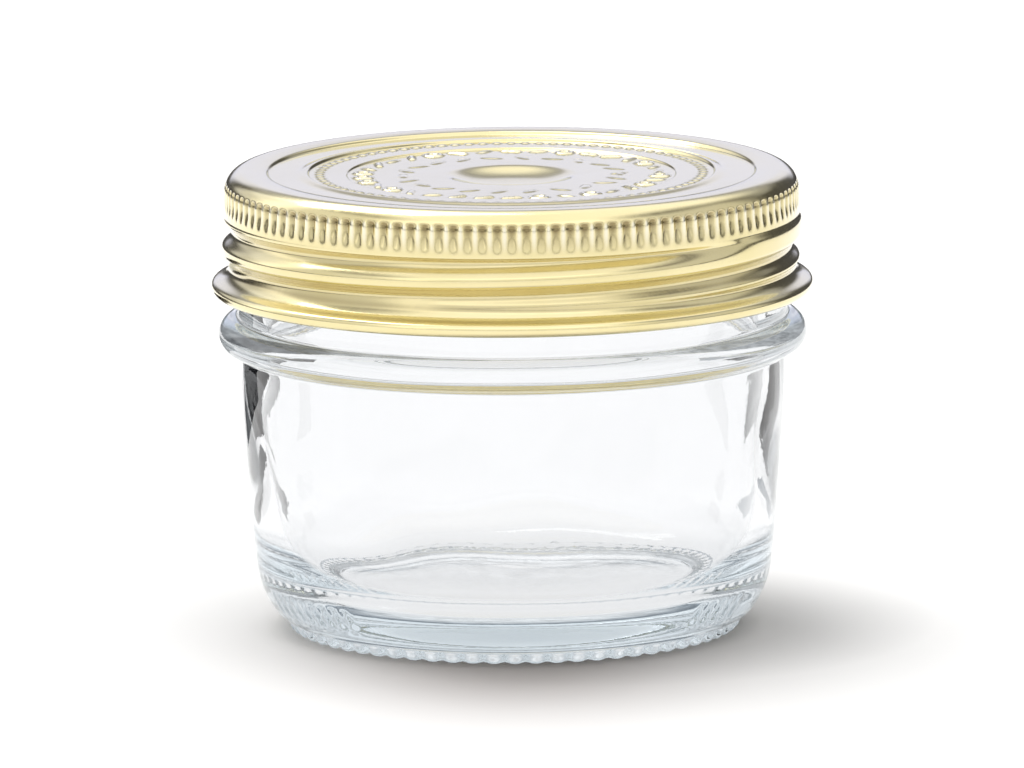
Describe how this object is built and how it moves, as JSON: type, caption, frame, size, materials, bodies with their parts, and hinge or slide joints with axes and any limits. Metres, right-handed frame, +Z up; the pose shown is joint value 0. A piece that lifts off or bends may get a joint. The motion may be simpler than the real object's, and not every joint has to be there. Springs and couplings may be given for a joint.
{
  "type": "mason jar",
  "caption": "Short wide clear glass preserving jar with a gold lacquered metal screw lid, a loose sealing disc and a flat rubber sealing ring.",
  "frame": {"origin": "centre of the circle the jar stands on, at the height of the table", "axes": "+Z up along the jar's axis; -Y is the side seen from the front"},
  "size_m": [0.0902, 0.0902, 0.0694],
  "materials": {
    "clear_glass": "polished",
    "gold_lacquer": "gloss",
    "disc_lacquer": "satin",
    "seal_rubber": "matte"
  },
  "bodies": {
    "jar": {"glass_jar": "clear_glass"},
    "seal": {"sealing_disc": "disc_lacquer", "sealing_ring": "seal_rubber"},
    "lid": {"screw_lid": "gold_lacquer"}
  },
  "joints": [
    {"name": "lid_lift", "type": "slide", "parent": "jar", "child": "seal", "axis": [0, 0, 1], "range_m": [0, 0.03048]},
    {"name": "lid_turn", "type": "hinge", "parent": "seal", "child": "lid", "pos_m": [0, 0, 0.06], "axis": [0, 0, 1], "range_deg": [0, 2160]}
  ],
  "couplings": [
    {"joint": "lid_lift", "follows": "lid_turn", "m_per_rad": 0.00080851}
  ]
}
